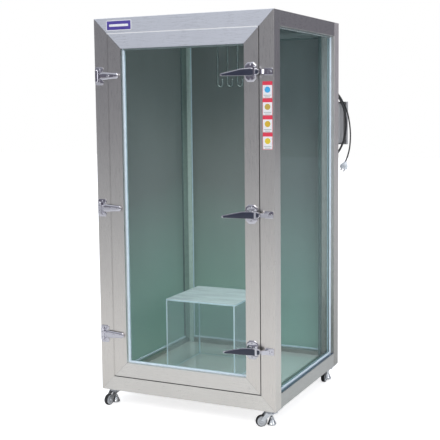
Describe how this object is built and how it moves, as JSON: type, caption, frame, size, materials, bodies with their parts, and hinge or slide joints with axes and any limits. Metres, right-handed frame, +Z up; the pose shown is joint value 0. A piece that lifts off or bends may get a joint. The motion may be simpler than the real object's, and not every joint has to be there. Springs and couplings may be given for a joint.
{
  "type": "sterilizer cabinet",
  "caption": "Tall stainless cabinet with glass walls, a glazed door on strap hinges with lever latches, casters and a clear bench inside.",
  "frame": {"origin": "on the floor, under the middle of the object's own box", "axes": "+Z up, -Y the door side, +X to the right as seen from the front"},
  "size_m": [0.9498, 1.1244, 1.88],
  "materials": {
    "brushed_stainless": "satin, brushed along each member",
    "polished_stainless": "mirror polished",
    "chrome_hardware": "bright chrome",
    "clear_glass": "clear with a pale green edge",
    "tinted_glass": "grey green tint",
    "lamp_glass": "clear lamp glass",
    "dark_grip": "satin dark grip",
    "grey_paint": "semi-gloss",
    "black_rubber": "matt",
    "cord_sheath": "satin sheath",
    "zinc_plate": "bright zinc plate",
    "white_plastic": "satin"
  },
  "bodies": {
    "cabinet": {"front_frame": "brushed_stainless", "rear_frame": "brushed_stainless", "side_rail_left_bottom": "brushed_stainless", "side_rail_left_top": "brushed_stainless", "side_rail_right_bottom": "brushed_stainless", "side_rail_right_top": "brushed_stainless", "roof_panel": "brushed_stainless", "floor_pan": "polished_stainless", "left_pane": "tinted_glass", "right_pane": "clear_glass", "rear_pane": "tinted_glass", "hinge_leaf_top": "chrome_hardware", "hinge_leaf_middle": "chrome_hardware", "hinge_leaf_bottom": "chrome_hardware", "latch_keeper_top": "chrome_hardware", "latch_keeper_middle": "chrome_hardware", "latch_keeper_bottom": "chrome_hardware", "caster_plate_front_left": "zinc_plate", "caster_plate_front_right": "zinc_plate", "caster_plate_rear_left": "zinc_plate", "caster_plate_rear_right": "zinc_plate", "bench_top": "clear_glass", "bench_stand": "clear_glass", "hook_bar": "polished_stainless", "lamp_fixture": "polished_stainless", "lamp_tube": "lamp_glass", "control_box": "grey_paint", "control_cover": "grey_paint", "cable_gland": "black_rubber", "ballast": "grey_paint", "cord_lead": "cord_sheath", "cord_coil": "cord_sheath", "cord_tail": "cord_sheath", "plug": "white_plastic"},
    "door": {"door_frame": "brushed_stainless", "door_pane": "clear_glass", "door_seal": "black_rubber", "hinge_strap_top": "chrome_hardware", "hinge_strap_middle": "chrome_hardware", "hinge_strap_bottom": "chrome_hardware", "latch_body_top": "chrome_hardware", "latch_body_middle": "chrome_hardware", "latch_body_bottom": "chrome_hardware"},
    "lever_top": {"latch_lever_top": "dark_grip"},
    "lever_middle": {"latch_lever_middle": "dark_grip"},
    "lever_bottom": {"latch_lever_bottom": "dark_grip"},
    "rocker": {"rocker_switch": "black_rubber"},
    "fork_front_left": {"caster_fork_front_left": "zinc_plate"},
    "wheel_front_left": {"caster_wheel_front_left": "black_rubber"},
    "foot_front_left": {"levelling_foot_front_left": "zinc_plate"},
    "fork_front_right": {"caster_fork_front_right": "zinc_plate"},
    "wheel_front_right": {"caster_wheel_front_right": "black_rubber"},
    "foot_front_right": {"levelling_foot_front_right": "zinc_plate"},
    "fork_rear_left": {"caster_fork_rear_left": "zinc_plate"},
    "wheel_rear_left": {"caster_wheel_rear_left": "black_rubber"},
    "foot_rear_left": {"levelling_foot_rear_left": "zinc_plate"},
    "fork_rear_right": {"caster_fork_rear_right": "zinc_plate"},
    "wheel_rear_right": {"caster_wheel_rear_right": "black_rubber"},
    "foot_rear_right": {"levelling_foot_rear_right": "zinc_plate"}
  },
  "joints": [
    {"name": "door_swing", "type": "hinge", "parent": "cabinet", "child": "door", "pos_m": [-0.442, -0.51885, 0.98], "axis": [0, 0, -1], "range_deg": [0, 120]},
    {"name": "lever_top_turn", "type": "hinge", "parent": "door", "child": "lever_top", "pos_m": [0.378, -0.53585, 1.61], "axis": [0, 0, 1], "range_deg": [0, 60]},
    {"name": "lever_middle_turn", "type": "hinge", "parent": "door", "child": "lever_middle", "pos_m": [0.378, -0.53585, 0.98], "axis": [0, 0, 1], "range_deg": [0, 60]},
    {"name": "lever_bottom_turn", "type": "hinge", "parent": "door", "child": "lever_bottom", "pos_m": [0.378, -0.53585, 0.36], "axis": [0, 0, 1], "range_deg": [0, 60]},
    {"name": "rocker_tip", "type": "hinge", "parent": "cabinet", "child": "rocker", "pos_m": [0.258, 0.56075, 1.4225], "axis": [1, 0, 0], "range_deg": [0, 14]},
    {"name": "swivel_front_left", "type": "hinge", "parent": "cabinet", "child": "fork_front_left", "pos_m": [-0.418, -0.45085, 0.062], "axis": [0, 0, 1], "continuous": true},
    {"name": "roll_front_left", "type": "hinge", "parent": "fork_front_left", "child": "wheel_front_left", "pos_m": [-0.42668, -0.50009, 0.027], "axis": [0.9848, -0.1736, 0], "continuous": true},
    {"name": "foot_front_left_screw", "type": "slide", "parent": "cabinet", "child": "foot_front_left", "axis": [0, 0, -1], "range_m": [0, 0.012]},
    {"name": "swivel_front_right", "type": "hinge", "parent": "cabinet", "child": "fork_front_right", "pos_m": [0.418, -0.45085, 0.062], "axis": [0, 0, 1], "continuous": true},
    {"name": "roll_front_right", "type": "hinge", "parent": "fork_front_right", "child": "wheel_front_right", "pos_m": [0.38084, -0.48431, 0.027], "axis": [0.6691, -0.7431, 0], "continuous": true},
    {"name": "foot_front_right_screw", "type": "slide", "parent": "cabinet", "child": "foot_front_right", "axis": [0, 0, -1], "range_m": [0, 0.012]},
    {"name": "swivel_rear_left", "type": "hinge", "parent": "cabinet", "child": "fork_rear_left", "pos_m": [-0.418, 0.33915, 0.062], "axis": [0, 0, 1], "continuous": true},
    {"name": "roll_rear_left", "type": "hinge", "parent": "fork_rear_left", "child": "wheel_rear_left", "pos_m": [-0.40506, 0.29085, 0.027], "axis": [0.9659, 0.2588, 0], "continuous": true},
    {"name": "foot_rear_left_screw", "type": "slide", "parent": "cabinet", "child": "foot_rear_left", "axis": [0, 0, -1], "range_m": [0, 0.012]},
    {"name": "swivel_rear_right", "type": "hinge", "parent": "cabinet", "child": "fork_rear_right", "pos_m": [0.418, 0.33915, 0.062], "axis": [0, 0, 1], "continuous": true},
    {"name": "roll_rear_right", "type": "hinge", "parent": "fork_rear_right", "child": "wheel_rear_right", "pos_m": [0.418, 0.28915, 0.027], "axis": [1, 0, 0], "continuous": true},
    {"name": "foot_rear_right_screw", "type": "slide", "parent": "cabinet", "child": "foot_rear_right", "axis": [0, 0, -1], "range_m": [0, 0.012]}
  ]
}
